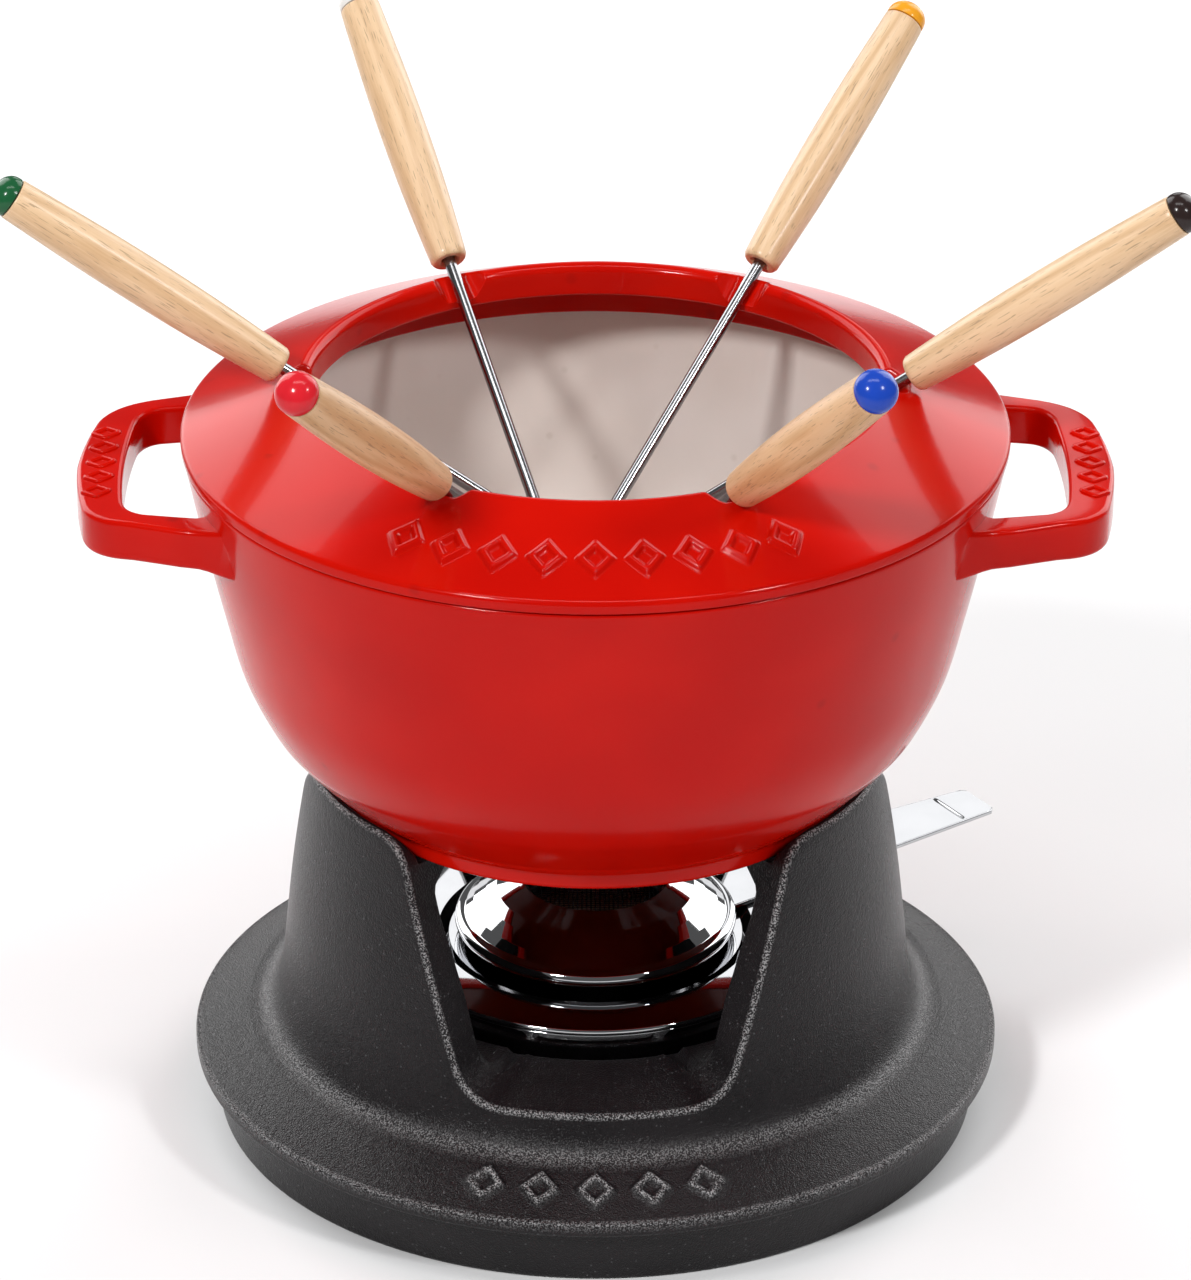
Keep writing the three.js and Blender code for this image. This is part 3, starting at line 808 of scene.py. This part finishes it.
def notch_of(number, radius=NOTCH_R):
    """Where a fork's line crosses the lip: its angle in degrees, its height and its slope."""
    point, along = fork_axis(number)
    flat, step = Vector(point[:2]), Vector(along[:2])
    a, b, c = step.dot(step), 2 * flat.dot(step), flat.dot(flat) - radius ** 2
    t = (-b + math.sqrt(b * b - 4 * a * c)) / (2 * a)
    crossing = point + along * t
    return math.degrees(math.atan2(crossing.y, crossing.x)), crossing.z, along.z / step.length


def ring_angles(notches):
    """Column angles: close together at the notches and under the front relief."""
    angles = list(np.arange(-130, -50, 0.24)) + list(np.arange(-50, 230, 1.5))
    for degrees, _, _ in notches:
        angles = [a for a in angles if abs((a - degrees + 180) % 360 - 180) > 6.7]
        angles += list(degrees + np.arange(-6.5, 6.51, 0.25))
    return np.array(sorted({round(a % 360, 3) for a in angles}))


def splash_ring():
    seat = RIM + 0.3
    notches = [notch_of(number) for number in range(1, 7)]
    angle = ring_angles(notches)
    lip_r, lip_edge = 72.4, 2.2
    bead = arc((lip_r, CREST - lip_edge), lip_edge, 67, 180, 14)
    slope_foot, slope_head = np.array((99.6, 187.6)), np.array(bead[0])
    profile = np.vstack([
        rounded([(93.6, seat), (RING_R - 0.1, seat, 0.5), (RING_R, 186.6, 3), slope_foot], 7),
        spaced([slope_foot, slope_head], 0.45)[1:-1], bead,
        spaced([bead[-1], (70.2, 191.9)], 1.1)[1:],
        rounded([(70.2, 191.9), (70.2, 190.9, 0.6), (71.1, 190.6), (88.8, 185.6, 2), (89.2, 177.8, 0.8),
                 (91.8, 177.8, 0.8), (92.4, 182.8, 0.8), (93.6, seat)])[1:-1],
    ])
    tilt = leaning(slope_foot, slope_head)
    signed = (angle + 180) % 360 - 180
    turn = np.radians(angle)
    rows = []
    for r, z in profile:
        raised = np.zeros(len(angle))
        if slope_foot[1] < z < slope_head[1] and r > 78:
            raised = 1.25 * diamonds(signed, r - 89.4, -90, 7.4, 9, 5, 5.6, 89.4)
            raised *= smoothstep(40, 36, np.abs(signed + 90))
        radius, height = r + tilt[0] * raised, z + tilt[1] * raised
        for degrees, rod, climb in notches:
            off = np.radians((angle - degrees + 180) % 360 - 180) * radius
            side = np.maximum(0, np.abs(off) - 3.4)
            floor = rod + climb * (r - NOTCH_R) - ROD_DROP + 0.5 * side ** 1.8
            if z > 191.5 and r < 79.5:
                soft = np.clip(0.5 + (floor - height) / 1.6, 0, 1)
                blend = floor + (height - floor) * soft - 0.8 * soft * (1 - soft)
                height = np.where(np.abs(off) < 9, np.minimum(height, blend), height)
        level = np.broadcast_to(height, turn.shape)
        rows.append(np.c_[radius * np.cos(turn), radius * np.sin(turn), level])
    faces = ring_faces(len(rows), len(angle), True)
    piece = mesh_of("splash_ring_casting", np.vstack(rows), faces, [RED], crease=50)
    settle(piece, "splash_ring", "splash_ring", "red_enamel")


# ---- burner -----------------------------------------------------------------------------


def burner():
    pan = rounded([(0, PAN_FOOT), (PAN_R, PAN_FOOT, 2.5), (PAN_R, PAN_TOP, 0.3),
                   (PAN_R - 0.9, PAN_TOP, 0.3),
                   (PAN_R - 0.9, PAN_FOOT + 1, 2), (0, PAN_FOOT + 1)])
    settle(turned("pan_shell", pan, [CHROME]), "burner", "burner_pan", "polished_chrome")

    rim = low("burner_cover")[2] + 4.6
    cover = rounded([
        (PAN_R - 1.4, rim), (PAN_R + 0.5, rim, 0.4), (PAN_R + 0.3, 44.95, 0.8), (40.4, 45.05, 0.6),
        (37.6, 44.1, 0.6), (24.6, 44.1, 0.3), (24.6, 43.1, 0.3), (37.8, 43.1, 0.5), (40.4, 43.9, 0.5),
        (PAN_R - 2.4, 43.9, 0.6), (PAN_R - 2.4, 39, 0.2), (PAN_R - 1.4, 39, 0.2), (PAN_R - 1.4, rim),
    ])[:-1]
    plate = turned("cover_plate", cover, [CHROME], closed=True)
    settle(plate, "burner", "burner_cover", "polished_chrome")

    cup_foot, cup_top = low("fuel_cup")[2], high("fuel_cup")[2]
    cup = rounded([(0, cup_foot), (22, cup_foot, 1.5), (22, cup_top, 0.5), (21, cup_top, 0.5),
                   (21, cup_foot + 1, 1), (0, cup_foot + 1)])
    settle(turned("cup_shell", cup, [STEEL], 96), "burner", "fuel_cup", "steel")

    wool_foot, wool_top = low("wick_pad")[2], high("wick_pad")[2]
    wool = rounded([(0, wool_foot), (19.9, wool_foot, 2), (19.9, wool_top, 2.4), (0, wool_top - 0.6)])
    settle(turned("wool_pad", wool, [WOOL], 72), "burner", "wick_pad", "wick_wool")


def regulator():
    bead = arc((33.9, HEAD_FOOT + 2.1), 2.1, -88, 92, 21)
    shell = np.vstack([
        rounded([(26.2, HEAD_FOOT), (33.6, HEAD_FOOT)]), bead,
        rounded([bead[-1], (33.3, HEAD_FOOT + 4.4, 0.9), (31.2, 52.9, 3), (28, 55.4, 4), (25.3, 57.4, 0.7),
                 (19.8, 59.4, 0.9), (18.6, HEAD_TOP, 0.5), (17.6, 59.3, 0.6), (17.6, 55.6, 0.3),
                 (18.5, 55.6, 0.3), (18.6, 58.4, 0.8), (24.6, 56.2, 1), (27.4, 54.2, 2), (30.4, 51.9, 2),
                 (33, 49.9, 1), (33, HEAD_FOOT + 0.9, 0.6), (26.2, HEAD_FOOT + 0.9)])[1:],
    ])
    head = turned("regulator_shell", shell, [CHROME], closed=True)
    settle(head, "regulator", "regulator_head", "polished_chrome")


def lever():
    """A strip with rounded edges, clipped corners and a groove pressed across it."""
    cad = frame["nodes"]["regulator_lever"].data
    direction = sum((v.co for v in cad.vertices), Vector())
    turn = math.atan2(direction.y, direction.x)
    end = max(math.hypot(v.co.x, v.co.y) for v in cad.vertices) / MM
    root, tip, thick, start = 13, 7, 1.1, 26.6
    length = math.sqrt(end ** 2 - 5.8 ** 2)
    stations = np.r_[start, start + 0.3, np.linspace(30, length - 11.5, 40),
                     length - 10.8 + np.linspace(0, 1.6, 9), np.linspace(length - 8.8, length - 1.2, 5),
                     length - 0.5, length - 0.1, length]
    rows = []
    for x in stations:
        wide = root + (tip - root) * (x - start) / (length - start) - max(0.0, x - (length - 1.2))
        edge = 0.28 if start + 0.2 < x < length - 0.2 else 0.12
        groove = 0.3 * math.exp(-((x - (length - 10)) / 0.42) ** 2)
        section = rounded([
            (0, thick), (wide - 2, thick), (wide - 0.9, thick), (wide, thick, edge), (wide, 0, edge),
            (-wide, 0, edge), (-wide, thick, edge), (0.9 - wide, thick), (2 - wide, thick), (0, thick),
        ], 3)[:-1]
        rows.append([(x, y, LEVER_FOOT + z - groove * (z > thick - 0.01) * (abs(y) < wide - 1.5))
                     for y, z in section])
    columns = len(rows[0])
    points = np.array(rows).reshape(-1, 3)
    spin = np.array([[math.cos(turn), -math.sin(turn), 0], [math.sin(turn), math.cos(turn), 0], [0, 0, 1]])
    faces = ring_faces(len(rows), columns, False)
    faces += [tuple(range(columns)), tuple(range((len(rows) - 1) * columns, len(rows) * columns))]
    piece = mesh_of("lever_strip", points @ spin.T, faces, [CHROME])
    settle(piece, "regulator", "regulator_lever", "polished_chrome")


def gauze():
    """Woven wire over the wool, with a turned-up rim: a grid of wires made by instances."""
    weave = Growth("gauze_weave", {"Radius": 0.0196, "Pitch": 0.0011, "Wire": 0.00016, "Level": 0.0492})
    add, calc = weave.add, weave.calc
    radius, pitch, wire, level = (weave.sizes[k] for k in ("Radius", "Pitch", "Wire", "Level"))
    count = calc("FLOOR", calc("DIVIDE", calc("MULTIPLY", radius, 2.0), pitch))
    layers = []
    for turn in (0.0, math.pi / 2):
        start = add("ShaderNodeCombineXYZ", None, {0: 0.0, 1: calc("MULTIPLY", radius, -1.0), 2: level})
        stop = add("ShaderNodeCombineXYZ", None, {0: 0.0, 1: radius, 2: level})
        posts = add("GeometryNodeMeshLine", {"mode": "END_POINTS"},
                    {"Count": count, "Start Location": start, "Offset": stop})
        where = add("GeometryNodeInputPosition")
        away = add("ShaderNodeVectorMath", {"operation": "MULTIPLY"}, {0: where, 1: (0.0, 1.0, 0.0)})
        squares = calc("MULTIPLY", radius, radius)
        off = add("ShaderNodeVectorMath", {"operation": "LENGTH"}, {0: away}).node.outputs["Value"]
        chord = calc("SQRT", calc("MAXIMUM", calc("SUBTRACT", squares, calc("MULTIPLY", off, off)), 1e-9))
        scale = add("ShaderNodeCombineXYZ", None, {0: 1.0, 1: 1.0, 2: calc("MULTIPLY", chord, 2.0)})
        rod = add("GeometryNodeMeshCylinder", None, {"Vertices": 6, "Radius": wire, "Depth": 1.0})
        laid = add("GeometryNodeInstanceOnPoints", None,
                   {"Points": posts, "Instance": rod, "Rotation": (0.0, math.pi / 2, 0.0), "Scale": scale})
        layers.append(add("GeometryNodeTransform", None, {
            "Geometry": laid, "Rotation": (0.0, 0.0, turn),
            "Translation": (0.0, 0.0, 0.0 if turn == 0 else 0.00022),
        }))
    piece = weave.piece(layers, STEEL)
    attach(piece, "burner")
    foot, top = low("gauze_screen")[2], high("gauze_screen")[2]
    hoop = rounded([(19.2, top - 1.6), (20.5, top - 1.6, 0.3), (20.5, top, 0.4), (19.6, top, 0.4),
                    (19.2, top - 1.2), (19.2, top - 1.6)])[:-1]
    settle(turned("gauze_hoop", hoop, [STEEL], 96, closed=True), "burner", "gauze_screen", "steel")


# ---- forks ------------------------------------------------------------------------------


class ForkFrame:
    """A fork's own frame: Z out along the rod, X level across it, Y square to both."""

    def __init__(self, number):
        self.number = number
        self.origin, self.along = fork_axis(number)
        self.across = Vector((0, 0, 1)).cross(self.along).normalized()
        self.square = self.along.cross(self.across)

    def reach(self, node):
        """Lowest and highest place of a node along the rod."""
        name = f"fork_{self.number}_{node}"
        places = [(v.co / MM - self.origin).dot(self.along) for v in frame["nodes"][name].data.vertices]
        return min(places), max(places)

    def world(self, points):
        turn = np.array([self.across, self.square, self.along])
        return np.asarray(points) @ turn + np.array(self.origin)

    def spun(self, name, profile, finish, segments):
        """A piece revolved about the rod, carrying its own grain coordinates."""
        angles = np.arange(segments) * TURN / segments
        rows = [np.c_[r * np.cos(angles), r * np.sin(angles), np.full(segments, z)] for r, z in profile]
        return self.piece(name, np.vstack(rows), ring_faces(len(profile), segments, False), finish)

    def piece(self, name, local, faces, finish):
        made = mesh_of(f"fork_{self.number}_{name}", self.world(local), faces, [finish])
        grain = made.data.attributes.new("grain", "FLOAT_VECTOR", "POINT")
        turn = np.array([self.across, self.square, self.along])
        count = len(made.data.vertices)
        places = np.empty(count * 3)
        made.data.vertices.foreach_get("co", places)
        own = (places.reshape(-1, 3) - np.array(self.origin) * MM) @ turn.T
        shift = np.array([0.013, 0.007, 0.11]) * self.number
        grain.data.foreach_set("vector", (own + shift).ravel())
        return made


def fork_prong(fork):
    low_end, high_end = fork.reach("prong")
    rod_r, root = 1.55, low_end + 33
    rod = rounded([(0, root - 8), (1.0, root - 8, 0.4), (rod_r, root + 4, 2), (rod_r, high_end, 0.4),
                   (0, high_end)])
    stem = fork.spun("rod", rod, STEEL, 24)
    parts = []
    for side in (1, -1):
        knots = [(0.35, root), (1.5, root - 6), (2.3, root - 10), (2.3, root - 20), (2.3, low_end + 7)]
        path = spline(knots, 6)
        tail = [(2.45, low_end + 4), (2.3, low_end + 1.2), (2.1, low_end)]
        path = np.vstack([path, tail])
        ends = [0.95, 0.5, 0.12]
        half = np.r_[np.full(len(path) - len(tail), 0.85), ends]
        thick = np.r_[np.full(len(path) - len(tail), 0.78), 0.75, 0.45, 0.1]
        points = []
        for (x, z), h, t in zip(path, half, thick):
            for a in np.arange(12) * TURN / 12:
                square = (abs(math.cos(a)) ** 4 + abs(math.sin(a)) ** 4) ** -0.25
                points.append((side * (x + h * square * math.cos(a)), t * square * math.sin(a), z))
        faces = ring_faces(len(path), 12, False)
        faces += [tuple(range(12)), tuple(range((len(path) - 1) * 12, len(path) * 12))]
        parts.append(fork.piece("tine", points, faces, STEEL))
    for part in parts:
        fuse(stem, part)
    stem.data.shade_smooth()
    stem.data.set_sharp_from_angle(angle=math.radians(40))
    stem.name = f"fork_{fork.number}_steel"
    settle(stem, f"fork_{fork.number}", f"fork_{fork.number}_prong", "steel")


def fork_grip(fork, finish):
    foot, head = fork.reach("grip")
    bore_end = foot + 24.6
    swell = spline([(4.75, foot + 1.1), (5.15, foot + 8), (5.75, foot + 22), (6.02, foot + 38),
                    (5.9, foot + 54), (5.5, foot + 69), (5.22, head - 0.4)], 8)
    seat = rounded([(0, bore_end), (1.85, bore_end), (1.85, foot + 0.9, 0.3), (2.7, foot, 0.5),
                    (4.2, foot, 0.9), (4.75, foot + 1.1)])
    end = rounded([(5.22, head - 0.4), (5.1, head, 0.3), (0, head)])
    grip = fork.spun("wood", np.vstack([seat, swell[1:], end[1:]]), finish, 48)
    settle(grip, f"fork_{fork.number}", f"fork_{fork.number}_grip", "blond_wood")


def fork_cap(fork, finish, slot):
    foot, head = fork.reach("cap")
    dome = [(5.15 * math.cos(a), foot + 0.9 + (head - foot - 0.9) * math.sin(a))
            for a in np.radians(np.linspace(0, 90, 14))]
    profile = np.vstack([rounded([(0, foot), (5.15, foot, 0.25), (5.15, foot + 0.9)]), dome[1:]])
    profile[-1, 0] = 0
    cap = fork.spun("dome", profile, finish, 48)
    settle(cap, f"fork_{fork.number}", f"fork_{fork.number}_cap", slot)


def forks():
    caps = {
        "cap_green": (0.012, 0.10, 0.035), "cap_white": (0.80, 0.78, 0.74),
        "cap_yellow": (0.85, 0.36, 0.02), "cap_black": (0.025, 0.015, 0.014),
        "cap_blue": (0.012, 0.06, 0.45), "cap_red": (0.65, 0.015, 0.025),
    }
    for number, (slot, colour) in enumerate(caps.items(), start=1):
        fork = ForkFrame(number)
        fork_prong(fork)
        fork_grip(fork, AMBER_WOOD if number > 4 else PALE_WOOD)
        fork_cap(fork, gloss_plastic(slot, colour), slot)


# ---- assembly ---------------------------------------------------------------------------

studio()
IRON, RED, CREAM = black_iron(), red_enamel("red_enamel"), cream_enamel()
# a much darker copy of the red enamel, used as painted shade under the pot
SHADED_RED = red_enamel("red_enamel_painted_shade", 0.16)
CHROME, STEEL, WOOL = polished_chrome(), drawn_steel(), wick_wool()
PALE_WOOD = turned_wood("pale_wood", (0.76, 0.53, 0.32), (0.60, 0.38, 0.20))
AMBER_WOOD = turned_wood("amber_wood", (0.70, 0.44, 0.24), (0.56, 0.31, 0.14))

stand()
pot()
handle_relief()
splash_ring()
burner()
regulator()
lever()
gauze()
forks()
for rivet in ("lever_rivet_1", "lever_rivet_2"):
    frame["nodes"][rivet].data.materials.clear()
    frame["nodes"][rivet].data.materials.append(STEEL)
